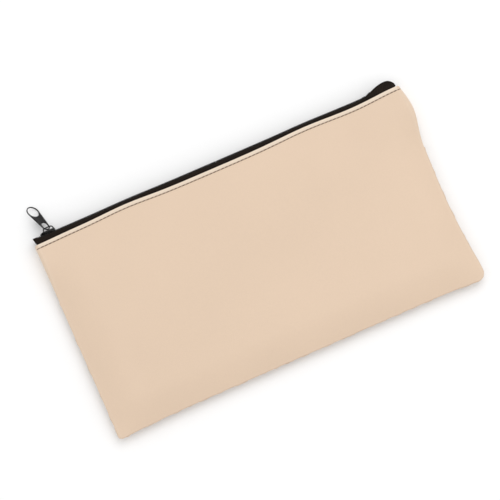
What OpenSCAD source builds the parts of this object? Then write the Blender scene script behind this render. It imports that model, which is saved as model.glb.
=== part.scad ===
// Cash deposit bag: a flat leatherette pouch with a zipper along one long edge.
// The bag lies on its back: +X runs along the zipper, +Y points out through the mouth, +Z is up.
// The origin is the centre of the leatherette's footprint, on the resting face of the back panel.

/* [Bag] */
// Width of the bag along the zipper
bag_w = 279.4; // [240:0.2:320]
// Depth of the bag from the bottom seam to the hem fold
bag_d = 151; // [140:0.5:180]
// Thickness of one layer of leatherette
sheet_t = 0.6; // [0.5:0.05:0.7]
// Height of the parting plane, where the front and back panels meet
part_z = 6.9; // [6.9:0.05:7.5]
// Height of the front panel's crown above the parting plane
front_crown = 6.6; // [6.5:0.05:7.2]
// Width of the rounded band along the side seams
side_round = 24; // [18:1:30]
// Width of the rounded band along the bottom seam
bottom_round = 22; // [18:1:30]
// Radius of the two bottom corners
corner_r = 5; // [2:0.5:5]
// Width of the seam allowance that is turned inside
allowance = 8; // [6:0.5:9]

/* [Hem] */
// Height of the hem's outer face above the parting plane
hem_h = 6.5; // [6.5:0.05:6.8]
// Width of the folded hem
hem_w = 10; // [8:0.5:12]
// Distance of the topstitch from the hem fold
topstitch_inset = 2.5; // [2:0.1:4]
// Length of one topstitch with its gap
stitch_pitch = 3; // [2.5:0.1:4]
// Thickness of the sewing thread
thread_d = 0.5; // [0.4:0.05:0.6]

/* [Zipper] */
// Thickness of the zipper tape
tape_t = 0.5; // [0.4:0.05:0.5]
// Width of the tape that is sewn under the hem
tape_hidden = 9; // [8:0.5:10]
// Distance of the tape's standing face beyond the hem fold
tape_reach = 2.2; // [2:0.1:3]
// Height of the coil's teeth above the tape
coil_t = 1.3; // [1.1:0.05:1.3]
// Half width of the closed chain
coil_half_w = 2.9; // [2.6:0.1:2.9]
// Half of the gap between the two rows of teeth
coil_gap = 0.5; // [0.5:0.02:0.6]
// Distance from one tooth to the next
tooth_pitch = 1.3; // [1.2:0.05:1.6]
// Place of the slider's middle when the zipper is closed, from the middle of the bag
slider_x = -129.3; // [-130:0.1:-120]
// Free travel of the slider
slider_travel = 240; // [200:1:241]

/* [Slider and tab] */
// Length of the slider
slider_l = 11.5; // [10:0.1:12]
// Half width of the slider at its nose
nose_half_w = 4.5; // [4.2:0.05:4.5]
// Half width of the slider at its tail
tail_half_w = 3.9; // [3.7:0.05:4.1]
// Thickness of each wing of the slider
wing_t = 0.9; // [0.8:0.05:1]
// Diameter of the bridge's wire
wire_d = 0.9; // [0.8:0.05:0.9]
// Distance between the bridge's feet
bridge_span = 7.2; // [6.8:0.1:7.6]
// Direction of the tab from the +X axis, about the upright axis
tab_heading = 108; // [70:1:125]
// Lean of the tab's tip below level
tab_lean = 8; // [0:1:9]
// Roll of the tab about its own length
tab_roll = 45; // [42:1:50]
// Length of the tab from the middle of its inner bar to its tip
tab_l = 22; // [18:0.5:26]
// Thickness of the tab
tab_t = 0.8; // [0.7:0.05:0.85]

/* [Hidden] */
$fn = 48;

half_w = bag_w / 2;
hem_y = bag_d / 2;
bottom_y = -bag_d / 2;

// The panels' edges: a solid rim, the gap to the other panel, and where the allowance lies
rim_w = 1.8;
rim_step = 0.4;
rim_h = 1.22;
part_gap = 0.02;
allowance_gap = 0.35;
hem_inner = hem_h - 2 * sheet_t + part_gap;

// The side edges rise to full height beside the zipper, between these two depths
lip_start = hem_y - 46;
lip_end = hem_y - 15;

// The zipper's layers, from the mouth outward
tape_y = hem_y + tape_reach;
coil_y = tape_y + tape_t;
crest_y = coil_y + coil_t;
tape_edge = coil_gap;
tape_bend = 0.5;
tape_leg = hem_inner - part_gap - tape_t;
tape_half_l = half_w - 0.1;
tape_leg_half_l = half_w - rim_w - rim_step - 0.1;
slot_in = tape_y - 0.35;
slot_out = crest_y + 0.15;
wing_gap = 0.35;
inner_wing_y = slot_in - 0.55 - wing_t;
outer_wing_y = slot_out + wing_gap;
slider_top_y = outer_wing_y + wing_t;
channel_half_w = coil_half_w + 0.3;
post_half_w = coil_gap - 0.1;
coil_spine = 1;
coil_start = slider_x - slider_l / 2 - 2.2;
coil_end = slider_x + slider_travel + slider_l / 2 + 0.6;
filler_r = 0.32;
filler_bore_r = 0.35;

// The bridge's arch and the tab that hangs in it
bridge_x = slider_x + 1.1;
bridge_bend = 1.75;
bridge_rise = 2.8;
bridge_socket = 0.6;
tab_pivot_y = slider_top_y + 1.25;
eye_bar = 0.8;
eye_r = 3.2;
tip_r = 5;
tip_rim = 0.65;
eye_u = eye_r - eye_bar / 2;
tip_u = tab_l - tip_r;

// ---- Shapes that repeat ----

// Extrudes a (Y, Z) profile along X
module along_x(x0, x1) {
    translate([x0, 0, 0]) rotate([90, 0, 90]) linear_extrude(height = x1 - x0) children();
}

// Extrudes an (X, Z) outline along Y
module along_y(y0, y1) {
    translate([0, y1, 0]) rotate([90, 0, 0]) linear_extrude(height = y1 - y0) children();
}

// Turns what is modelled for the front into the back, through the parting plane
module on_side(side) {
    if (side > 0) translate([0, 0, part_z]) children();
    else translate([0, 0, part_z]) mirror([0, 0, 1]) children();
}

// ---- The panels' shape ----

function clamp01(s) = min(max(s, 0), 1);
function smooth(s) = let (t = clamp01(s)) t * t * (3 - 2 * t);
function swell(s) = sin(90 * clamp01(s));
function from_edge(x, y) = min(half_w - abs(x), y - bottom_y);

// Full height at a depth: the crown, then the level hem beside the zipper
function full_h(y, crown) = crown + (hem_h - crown) * smooth((y - hem_y + 18) / 7);

// Height of the outer face above the parting plane
function outer_h(x, y, crown) =
    let (pillow = swell((half_w - abs(x)) / side_round) * swell((y - bottom_y) / bottom_round),
         lip = smooth((y - lip_start) / (lip_end - lip_start)))
    rim_h + (full_h(y, crown) - rim_h) * (pillow + (1 - pillow) * lip);

// Height of the inner face: down to the parting plane at the rim, two layers thick at the hem
function inner_h(x, y, crown) =
    from_edge(x, y) < rim_w + rim_step / 2 ? part_gap :
    y > hem_y - hem_w - rim_step / 2 ? hem_inner : outer_h(x, y, crown) - sheet_t;

// Grid lines inward from a rounded edge
function edge_lines(round_w) =
    concat([0, rim_w, rim_w + rim_step], [for (f = [0.16, 0.26, 0.4, 0.55, 0.7, 0.85, 1]) f * round_w]);

side_lines = edge_lines(side_round);
last_line = len(side_lines) - 1;
x_lines = concat([for (d = side_lines) d - half_w], [-60, 0, 60],
                 [for (i = [last_line:-1:0]) half_w - side_lines[i]]);
y_lines = concat([for (d = edge_lines(bottom_round)) bottom_y + d], [-20, 10],
                 [for (d = [46, 41, 36, 31, 26, 21, 17.5, 15, 12.5]) hem_y - d],
                 [hem_y - hem_w - rim_step, hem_y - hem_w, hem_y]);

// One panel's sheet, above the parting plane
module panel_sheet(crown) {
    nx = len(x_lines);
    ny = len(y_lines);
    layer = nx * ny;
    outer = [for (y = y_lines, x = x_lines) [x, y, outer_h(x, y, crown)]];
    inner = [for (y = y_lines, x = x_lines) [x, y, inner_h(x, y, crown)]];
    outer_faces = [for (j = [0:ny - 2], i = [0:nx - 2]) let (a = j * nx + i)
        each [[a, a + nx, a + nx + 1], [a, a + nx + 1, a + 1]]];
    inner_faces = [for (f = outer_faces) [f[0] + layer, f[2] + layer, f[1] + layer]];
    rim = concat([for (i = [0:nx - 1]) i], [for (j = [1:ny - 1]) j * nx + nx - 1],
                 [for (i = [nx - 2:-1:0]) (ny - 1) * nx + i], [for (j = [ny - 2:-1:1]) j * nx]);
    wall_faces = [for (k = [0:len(rim) - 1]) let (a = rim[k], b = rim[(k + 1) % len(rim)])
        each [[a, b, b + layer], [a, b + layer, a + layer]]];
    polyhedron(points = concat(outer, inner), faces = concat(outer_faces, inner_faces, wall_faces),
               convexity = 8);
}

// Outline that rounds the two bottom corners and stays clear of the other edges
module corner_outline() {
    spare = 2;
    cx = half_w - corner_r;
    cy = bottom_y + corner_r;
    reach = corner_r - 0.02;
    left_arc = [for (a = [180:15:270]) [-cx + reach * cos(a), cy + reach * sin(a)]];
    right_arc = [for (a = [270:15:360]) [cx + reach * cos(a), cy + reach * sin(a)]];
    polygon(concat([[half_w + spare, hem_y + spare], [-half_w - spare, hem_y + spare],
                    [-half_w - spare, cy]], left_arc,
                   [[-cx, bottom_y - spare], [cx, bottom_y - spare]], right_arc,
                   [[half_w + spare, cy]]));
}

// Seam allowance turned inside along the left, bottom and right edges
module allowance_strip() {
    outer_w = half_w - rim_w / 2;
    outer_y = bottom_y + rim_w / 2;
    inner_w = half_w - allowance;
    inner_y = bottom_y + allowance;
    top_y = lip_end;
    translate([0, 0, allowance_gap]) linear_extrude(height = sheet_t)
        polygon([[-outer_w, outer_y], [outer_w, outer_y], [outer_w, top_y], [inner_w, top_y],
                 [inner_w, inner_y], [-inner_w, inner_y], [-inner_w, top_y], [-outer_w, top_y]]);
}

module panel(crown, side) {
    on_side(side) intersection() {
        union() {
            panel_sheet(crown);
            allowance_strip();
        }
        translate([0, 0, -2]) linear_extrude(height = crown + 4) corner_outline();
    }
}

module front_panel() { color([0.88, 0.80, 0.71]) panel(front_crown, 1); }

module back_panel() { color([0.86, 0.78, 0.69]) panel(part_z, -1); }

// ---- Zipper tapes and teeth ----

// Tape profile: it stands beside the teeth, bends over, and runs back under the hem
module tape_profile() {
    bend_y = tape_y + tape_t - tape_bend - tape_t;
    bend_z = tape_leg - tape_bend;
    outer_bend = [for (a = [0:15:90]) [bend_y + (tape_bend + tape_t) * cos(a),
                                       bend_z + (tape_bend + tape_t) * sin(a)]];
    inner_bend = [for (a = [90:-15:0]) [bend_y + tape_bend * cos(a), bend_z + tape_bend * sin(a)]];
    polygon(concat([[tape_y, tape_edge], [tape_y + tape_t, tape_edge]], outer_bend,
                   [[hem_y - tape_hidden, tape_leg + tape_t], [hem_y - tape_hidden, tape_leg]],
                   inner_bend));
}

// The tape reaches the side seams, but its sewn leg stops short of the panels' solid rims
module zip_tape(side) {
    notch_l = tape_half_l - tape_leg_half_l;
    on_side(side) difference() {
        along_x(-tape_half_l, tape_half_l) tape_profile();
        for (end = [-1, 1]) translate([end * (tape_leg_half_l + notch_l), hem_y - tape_hidden, tape_leg])
            cube([2 * notch_l, 2 * tape_hidden + 0.2, 3 * tape_t], center = true);
    }
}

module front_zip_tape() { color([0.10, 0.09, 0.09]) zip_tape(1); }

module back_zip_tape() { color([0.10, 0.09, 0.09]) zip_tape(-1); }

// Comb of teeth on one tape, with the filler cord's bore along its spine
module coil(side) {
    count = floor((coil_end - coil_start) / tooth_pitch);
    tooth_w = tooth_pitch * 0.55;
    root_z = coil_half_w - coil_spine;
    teeth = [for (i = [0:count - 1]) let (x = coil_start + i * tooth_pitch)
        each [[x, root_z], [x, coil_gap], [x + tooth_w, coil_gap], [x + tooth_w, root_z]]];
    on_side(side) difference() {
        along_y(coil_y, crest_y)
            polygon(concat(teeth, [[coil_end, root_z], [coil_end, coil_half_w], [coil_start, coil_half_w]]));
        translate([coil_start - 1, coil_y + coil_t / 2, coil_half_w - coil_spine / 2])
            rotate([0, 90, 0]) cylinder(r = filler_bore_r, h = coil_end - coil_start + 2);
    }
}

module front_coil() { color([0.13, 0.12, 0.12]) coil(1); }

module back_coil() { color([0.13, 0.12, 0.12]) coil(-1); }

module filler_cord(side) {
    on_side(side) translate([coil_start, coil_y + coil_t / 2, coil_half_w - coil_spine / 2])
        rotate([0, 90, 0]) cylinder(r = filler_r, h = coil_end - coil_start);
}

module front_filler_cord() { color([0.2, 0.2, 0.2]) filler_cord(1); }

module back_filler_cord() { color([0.2, 0.2, 0.2]) filler_cord(-1); }

// Sewing line beside the teeth, which holds them to the tape
module coil_thread(side) {
    r = 0.12;
    on_side(side) translate([coil_start, coil_y + r, coil_half_w + r + part_gap])
        rotate([0, 90, 0]) cylinder(r = r, h = coil_end - coil_start);
}

module front_coil_thread() { color([0.05, 0.05, 0.05]) coil_thread(1); }

module back_coil_thread() { color([0.05, 0.05, 0.05]) coil_thread(-1); }

// ---- Stops ----

// Clamp on one tape just past the closed slider's nose
module top_stop(side) {
    stop_l = 1.9;
    x1 = coil_start - 0.05;
    on_side(side) difference() {
        along_x(x1 - stop_l, x1) polygon([[tape_y - 0.35, coil_gap], [crest_y, coil_gap],
            [crest_y, coil_half_w - 0.3], [crest_y - 0.3, coil_half_w], [tape_y - 0.35, coil_half_w]]);
        translate([x1 - stop_l - 1, tape_y, tape_edge])
            cube([stop_l + 2, tape_t, coil_half_w - 0.4]);
    }
}

module front_top_stop() { color([0.16, 0.16, 0.17]) top_stop(1); }

module back_top_stop() { color([0.16, 0.16, 0.17]) top_stop(-1); }

// Stop at the end of the slider's travel: an outer plate over both tapes, folded round the back tape
module bottom_stop() {
    x0 = coil_end + 0.1;
    stop_l = 3.5;
    web_z = tape_edge - 0.02;
    inner_y = tape_y - 0.4;
    color([0.16, 0.16, 0.17]) translate([0, 0, part_z]) along_x(x0, x0 + stop_l)
        polygon([[coil_y, coil_half_w], [crest_y - 0.3, coil_half_w], [crest_y, coil_half_w - 0.3],
                 [crest_y, -coil_half_w + 0.3], [crest_y - 0.3, -coil_half_w], [coil_y, -coil_half_w],
                 [coil_y, -web_z], [tape_y, -web_z], [tape_y, -coil_half_w], [inner_y, -coil_half_w],
                 [inner_y, 0], [coil_y + 0.05, 0], [coil_y + 0.05, coil_half_w - 0.1]]);
}

// ---- Slider, bridge and tab ----

// Outline of a wing: wide rounded nose towards the closed end, narrower tail
module wing_outline() {
    nose = -slider_l / 2;
    tail = slider_l / 2;
    polygon([[nose, -1.6], [nose + 0.5, -3.3], [nose + 1.7, -nose_half_w + 0.1], [nose + 2.8, -nose_half_w],
             [0.5, -nose_half_w], [tail - 0.6, -tail_half_w], [tail, -tail_half_w + 0.7],
             [tail, tail_half_w - 0.7], [tail - 0.6, tail_half_w], [0.5, nose_half_w],
             [nose + 2.8, nose_half_w], [nose + 1.7, nose_half_w - 0.1], [nose + 0.5, 3.3], [nose, 1.6]]);
}

// Edges of a wing, outside the channel that the teeth run in
module flange_outline() {
    difference() {
        wing_outline();
        square([slider_l + 2, 2 * channel_half_w], center = true);
    }
}

module slider_body() {
    post_l = 2.6;
    post_x = -slider_l / 2 + 1.1;
    color([0.2, 0.2, 0.21]) translate([slider_x, 0, part_z]) difference() {
        union() {
            along_y(inner_wing_y, inner_wing_y + wing_t) wing_outline();
            along_y(outer_wing_y, slider_top_y) wing_outline();
            along_y(inner_wing_y + wing_t - 0.1, slot_in) flange_outline();
            along_y(slot_out, outer_wing_y + 0.1) flange_outline();
            along_y(inner_wing_y + wing_t - 0.1, outer_wing_y + 0.1)
                polygon([[post_x, 0], [post_x + 0.7, -post_half_w], [post_x + post_l, -post_half_w],
                         [post_x + post_l, post_half_w], [post_x + 0.7, post_half_w]]);
        }
        for (end = [-1, 1]) translate([bridge_x - slider_x + end * bridge_span / 2, slider_top_y + 1, 0])
            rotate([90, 0, 0]) cylinder(d = wire_d, h = bridge_socket + 1);
    }
}

// Round wire arch, its feet set in the slider's outer wing
module slider_bridge() {
    bend_x = bridge_span / 2 - bridge_bend;
    bend_y = bridge_rise - bridge_bend;
    color([0.17, 0.17, 0.18]) translate([bridge_x, slider_top_y, part_z]) union() {
        translate([-bend_x, bridge_rise, 0]) rotate([0, 90, 0]) cylinder(d = wire_d, h = 2 * bend_x);
        for (end = [0, 1]) mirror([end, 0, 0]) {
            translate([bend_x, bend_y, 0]) rotate_extrude(angle = 90)
                translate([bridge_bend, 0]) circle(d = wire_d);
            translate([bridge_span / 2, bend_y, 0]) rotate([90, 0, 0])
                cylinder(d = wire_d, h = bend_y + bridge_socket);
        }
    }
}

// Bar with round ends of two sizes, along X
module tapered_bar(u1, r1, u2, r2, t) {
    slope = asin((r2 - r1) / (u2 - u1));
    far_end = [for (i = [0:16]) let (a = -90 - slope + i * (180 + 2 * slope) / 16)
        [u2 + r2 * cos(a), r2 * sin(a)]];
    near_end = [for (i = [0:16]) let (a = 90 + slope + i * (180 - 2 * slope) / 16)
        [u1 + r1 * cos(a), r1 * sin(a)]];
    translate([0, 0, -t / 2]) linear_extrude(height = t) polygon(concat(far_end, near_end));
}

module pull_tab() {
    eye_hole_r = eye_r - eye_bar;
    color([0.2, 0.19, 0.2]) translate([bridge_x, tab_pivot_y, part_z])
        rotate([0, 0, tab_heading]) rotate([0, tab_lean, 0]) rotate([tab_roll, 0, 0]) difference() {
            tapered_bar(eye_u, eye_r, tip_u, tip_r, tab_t);
            tapered_bar(eye_u, eye_hole_r, eye_u + 1.2, eye_hole_r + 0.05, tab_t + 2);
            translate([tip_u, 0, 0]) cylinder(r = tip_r - tip_rim, h = tab_t + 2, center = true);
        }
}

// ---- Threads ----

// Row of stitches on the hem's outer face
module topstitch(side) {
    count = floor((bag_w - 6) / stitch_pitch);
    stitch_l = stitch_pitch * 0.8;
    stitch_h = thread_d / 2;
    on_side(side) for (i = [0:count - 1])
        translate([(i - (count - 1) / 2) * stitch_pitch - stitch_l / 2,
                   hem_y - topstitch_inset - thread_d / 2, hem_h])
            cube([stitch_l, thread_d, stitch_h]);
}

module front_topstitch() { color([0.25, 0.18, 0.13]) topstitch(1); }

module back_topstitch() { color([0.25, 0.18, 0.13]) topstitch(-1); }

// Lockstitch line between the two allowances, just inside the rim
thread_inset = rim_w + rim_step + 1;

module side_seam_thread(side) {
    translate([side * (half_w - thread_inset), bottom_y + thread_inset + 1, part_z])
        rotate([-90, 0, 0]) cylinder(d = thread_d, h = lip_end - bottom_y - thread_inset - 2);
}

module left_seam_thread() { color([0.8, 0.72, 0.62]) side_seam_thread(-1); }

module right_seam_thread() { color([0.8, 0.72, 0.62]) side_seam_thread(1); }

module bottom_seam_thread() {
    color([0.8, 0.72, 0.62]) translate([-half_w + thread_inset + 1, bottom_y + thread_inset, part_z])
        rotate([0, 90, 0]) cylinder(d = thread_d, h = bag_w - 2 * thread_inset - 2);
}

front_panel();
back_panel();
front_zip_tape();
back_zip_tape();
front_coil();
back_coil();
front_filler_cord();
back_filler_cord();
front_coil_thread();
back_coil_thread();
front_top_stop();
back_top_stop();
bottom_stop();
slider_body();
slider_bridge();
pull_tab();
front_topstitch();
back_topstitch();
left_seam_thread();
right_seam_thread();
bottom_seam_thread();
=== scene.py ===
import math

import bmesh
import bpy
import numpy as np
from mathutils import Matrix, Vector, noise


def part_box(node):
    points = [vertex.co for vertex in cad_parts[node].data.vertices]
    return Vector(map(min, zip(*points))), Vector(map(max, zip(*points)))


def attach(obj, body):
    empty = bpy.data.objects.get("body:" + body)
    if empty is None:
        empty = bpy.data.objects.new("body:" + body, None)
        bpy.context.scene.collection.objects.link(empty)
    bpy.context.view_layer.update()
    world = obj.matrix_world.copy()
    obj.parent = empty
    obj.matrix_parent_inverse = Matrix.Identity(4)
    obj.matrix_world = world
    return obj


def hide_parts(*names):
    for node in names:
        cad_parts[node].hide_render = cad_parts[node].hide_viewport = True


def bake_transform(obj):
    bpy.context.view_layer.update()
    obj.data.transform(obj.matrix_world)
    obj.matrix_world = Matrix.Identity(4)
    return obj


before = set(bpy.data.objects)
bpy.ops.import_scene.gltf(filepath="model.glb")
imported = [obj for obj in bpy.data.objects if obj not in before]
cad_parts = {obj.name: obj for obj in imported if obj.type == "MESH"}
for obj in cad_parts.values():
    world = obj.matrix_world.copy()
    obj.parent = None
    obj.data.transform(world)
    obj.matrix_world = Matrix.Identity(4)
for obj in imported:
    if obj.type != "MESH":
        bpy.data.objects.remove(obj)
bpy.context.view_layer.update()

MM = 0.001

# ---- Places taken from the frame ----

panel_low, panel_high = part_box("front_panel")
slider_low, slider_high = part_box("slider_body")
bridge_low, bridge_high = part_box("slider_bridge")
coil_low, coil_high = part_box("front_coil")
tape_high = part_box("front_zip_tape")[1]
stop_low, stop_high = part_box("bottom_stop")
top_stop_low, top_stop_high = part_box("front_top_stop")
stitch_low, stitch_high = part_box("front_topstitch")

HALF_W = panel_high.x
HEM_Y = panel_high.y
BOTTOM_Y = panel_low.y
PART_Z = (slider_low.z + slider_high.z) / 2
TAPE_Y = tape_high.y
CREST_Y = coil_high.y
STITCH_Y = (stitch_low.y + stitch_high.y) / 2
SLIDER_X = (slider_low.x + slider_high.x) / 2
SLIDER_TOP = slider_high.y
BRIDGE_X = (bridge_low.x + bridge_high.x) / 2

# ---- The leatherette ----

SHEET_T = 0.6 * MM
FOLD_R = 0.61 * MM                 # outer radius of a turned edge, two layers thick
RIM_H = 2 * FOLD_R
RIM_GAP = 0.02 * MM                # between the front's edge and the back's
FRONT_CROWN = 6.6 * MM
BACK_CROWN = PART_Z
HEM_H = 6.5 * MM
SIDE_ROUND = 24 * MM
BOTTOM_ROUND = 22 * MM
LIP_START = HEM_Y - 46 * MM        # the side edges rise to full height from here
LIP_END = HEM_Y - 15 * MM
LIP_R = 2.2 * MM                   # how much rounder the side edge is beside the zipper
HEM_W = 10 * MM
ALLOWANCE = 8 * MM
SAG = 1.1 * MM                     # how far the empty bag's front sinks in its middle
SAG_HALF_X = 85 * MM
SAG_HALF_Y = 45 * MM
WANDER = 0.55 * MM                 # depth of the leatherette's slow unevenness
SEAM_INSET = 3.2 * MM
MARGIN = HEM_Y - STITCH_Y + 0.4 * MM  # from the hem fold to the topstitch
LEFT_CORNER_R = 2.2 * MM
RIGHT_CORNER_R = 6.5 * MM

# ---- Easing curves ----


def smooth(t):
    """Rises gently from 0 to 1."""
    t = np.clip(t, 0, 1)
    return t * t * (3 - 2 * t)


def swell(t):
    """Rises fast from 0 and levels off at 1."""
    return np.sin(math.pi / 2 * np.clip(t, 0, 1))


def bump(t):
    """1 at t = 0, and close to 0 from t = 2 on."""
    return np.exp(-np.square(t))


# ---- The outline that the front and back share ----

def right_edge(y):
    """The right seam: it stands out beside the zipper and at the corner, and pulls in between them."""
    out = 4.1 * bump((y - 58 * MM) / (17 * MM)) + 0.9 * bump((y + 66 * MM) / (14 * MM))
    return HALF_W + (out - 2.1 * bump((y + 15 * MM) / (38 * MM))) * MM


def left_edge(y):
    """The left seam runs nearly straight, leaning out a little towards the zipper."""
    return -HALF_W - (0.5 + 1.3 * (y + 20 * MM) / (95 * MM)) * MM


def bottom_edge(x):
    """The bottom seam pulls in between its corners, and more suddenly near the right one."""
    power = np.where(x > 0, 9.0, 5.5)
    return BOTTOM_Y + 0.9 * MM + 2.3 * MM * (1 - np.abs(x / HALF_W) ** power)


def hem_line(x):
    """The hem fold: it bows out at two places, falls back between them, and lifts at its right end."""
    bows = 1.4 * bump((x + 72 * MM) / (24 * MM)) + 1.55 * bump((x - 68 * MM) / (28 * MM))
    ends = 2.4 * bump((x - HALF_W) / (26 * MM)) - 0.6 * bump((x + HALF_W) / (16 * MM))
    return HEM_Y + (bows + ends - 1.25) * MM


def zipper_bow(x):
    """How far the zipper bows out with the hem."""
    return ZIPPER_BOW * (bump((x + 68 * MM) / (22 * MM)) + bump((x - 68 * MM) / (20 * MM)))


def lip(y):
    """0 where the side edges lie flat, 1 where they stand as high as the hem."""
    return smooth((y - LIP_START) / (LIP_END - LIP_START))


# ---- Mesh helpers ----

WELD = 1e-6
SHARP_DEGREES = 50                 # a plate's edge is sharp from this angle
RIM_DEGREES = 60


def new_object(name, mesh, material):
    obj = bpy.data.objects.new(name, mesh)
    bpy.context.scene.collection.objects.link(obj)
    mesh.materials.clear()
    mesh.materials.append(material)
    mesh.shade_smooth()
    return obj


def as_mesh(name, bm):
    mesh = bpy.data.meshes.new(name)
    bm.to_mesh(mesh)
    bm.free()
    return mesh


def closed_object(name, bm, material):
    """An object of closed shapes, welded, with their faces turned outward."""
    bmesh.ops.remove_doubles(bm, verts=bm.verts, dist=WELD)
    bmesh.ops.recalc_face_normals(bm, faces=bm.faces)
    return new_object(name, as_mesh(name, bm), material)


def thicken(obj, thickness, offset):
    """An open sheet made solid: offset -1 adds the thickness inward, 0 half to each side."""
    solid = obj.modifiers.new("thickness", "SOLIDIFY")
    solid.thickness = thickness
    solid.offset = offset
    solid.use_even_offset = False
    bpy.context.view_layer.update()
    shape = obj.evaluated_get(bpy.context.evaluated_depsgraph_get())
    mesh = bpy.data.meshes.new_from_object(shape)
    obj.modifiers.clear()
    obj.data = mesh
    sharpen(mesh, RIM_DEGREES)
    return obj


def sharpen(mesh, degrees):
    mesh.set_sharp_from_angle(angle=math.radians(degrees))


def half_of(obj, name, side):
    """The part of an open sheet on one side of x = 0."""
    bm = bmesh.new()
    bm.from_mesh(obj.data)
    everything = bm.verts[:] + bm.edges[:] + bm.faces[:]
    bmesh.ops.bisect_plane(bm, geom=everything, dist=WELD, plane_co=(0, 0, 0),
                           plane_no=(side, 0, 0), clear_inner=True)
    return new_object(name, as_mesh(name, bm), obj.data.materials[0])


def open_with_zipper(obj):
    """Bakes a front piece's placement into its mesh."""
    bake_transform(obj)


def front_halves(obj, thickness, offset, nodes):
    """Splits a front sheet at the middle, and makes each half solid."""
    halves = []
    for side, word in ((-1, "left"), (1, "right")):
        half = thicken(half_of(obj, obj.name + "_" + word, side), thickness, offset)
        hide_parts(*nodes)
        halves.append(half)
    bpy.data.objects.remove(obj)
    return halves


def tube(bm, points, radii, sides=8):
    """A round strand along points, one radius for each."""
    points = [Vector(p) for p in points]
    rings = []
    normal = None
    for i, point in enumerate(points):
        ahead = points[min(i + 1, len(points) - 1)] - points[max(i - 1, 0)]
        ahead.normalize()
        if normal is None:
            normal = ahead.orthogonal().normalized()
        normal = (normal - ahead * normal.dot(ahead)).normalized()
        across = ahead.cross(normal)
        rings.append([bm.verts.new(point + radii[i] * (math.cos(a) * normal + math.sin(a) * across))
                      for a in (math.tau * k / sides for k in range(sides))])
    for one, two in zip(rings, rings[1:]):
        for k in range(sides):
            bm.faces.new((one[k], one[(k + 1) % sides], two[(k + 1) % sides], two[k]))
    bm.faces.new(rings[0][::-1])
    bm.faces.new(rings[-1])


def between(lines):
    """The four-sided faces between each line of points and the next."""
    return [(one[k], one[k + 1], two[k + 1], two[k])
            for one, two in zip(lines, lines[1:]) for k in range(len(one) - 1)]


def plate(name, outline, holes, thickness, bevel, place, material):
    """A flat plate with rounded edges. Its outline is in its own X and Y; place puts it in the frame."""
    curve = bpy.data.curves.new(name, "CURVE")
    curve.dimensions = "2D"
    curve.fill_mode = "BOTH"
    curve.bevel_depth = bevel
    curve.bevel_resolution = 3
    curve.offset = -bevel
    curve.extrude = thickness / 2 - bevel
    for loop in [outline] + holes:
        spline = curve.splines.new("POLY")
        spline.points.add(len(loop) - 1)
        for point, (u, v) in zip(spline.points, loop):
            point.co = (u, v, 0, 1)
        spline.use_cyclic_u = True
    maker = bpy.data.objects.new(name, curve)
    bpy.context.scene.collection.objects.link(maker)
    bpy.context.view_layer.update()
    filled = maker.evaluated_get(bpy.context.evaluated_depsgraph_get())
    mesh = bpy.data.meshes.new_from_object(filled)
    bpy.data.objects.remove(maker)
    bm = bmesh.new()
    bm.from_mesh(mesh)
    bmesh.ops.remove_doubles(bm, verts=bm.verts, dist=WELD)
    bmesh.ops.transform(bm, matrix=place, verts=bm.verts)
    bmesh.ops.recalc_face_normals(bm, faces=bm.faces)
    bm.to_mesh(mesh)
    bm.free()
    obj = new_object(name, mesh, material)
    sharpen(mesh, SHARP_DEGREES)
    return obj


def joined(name, parts):
    """Several objects as one."""
    bm = bmesh.new()
    material = parts[0].data.materials[0]
    for part in parts:
        bm.from_mesh(part.data)
        bpy.data.objects.remove(part)
    mesh = as_mesh(name, bm)
    obj = new_object(name, mesh, material)
    sharpen(mesh, SHARP_DEGREES)
    return obj


# ---- Materials ----

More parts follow.
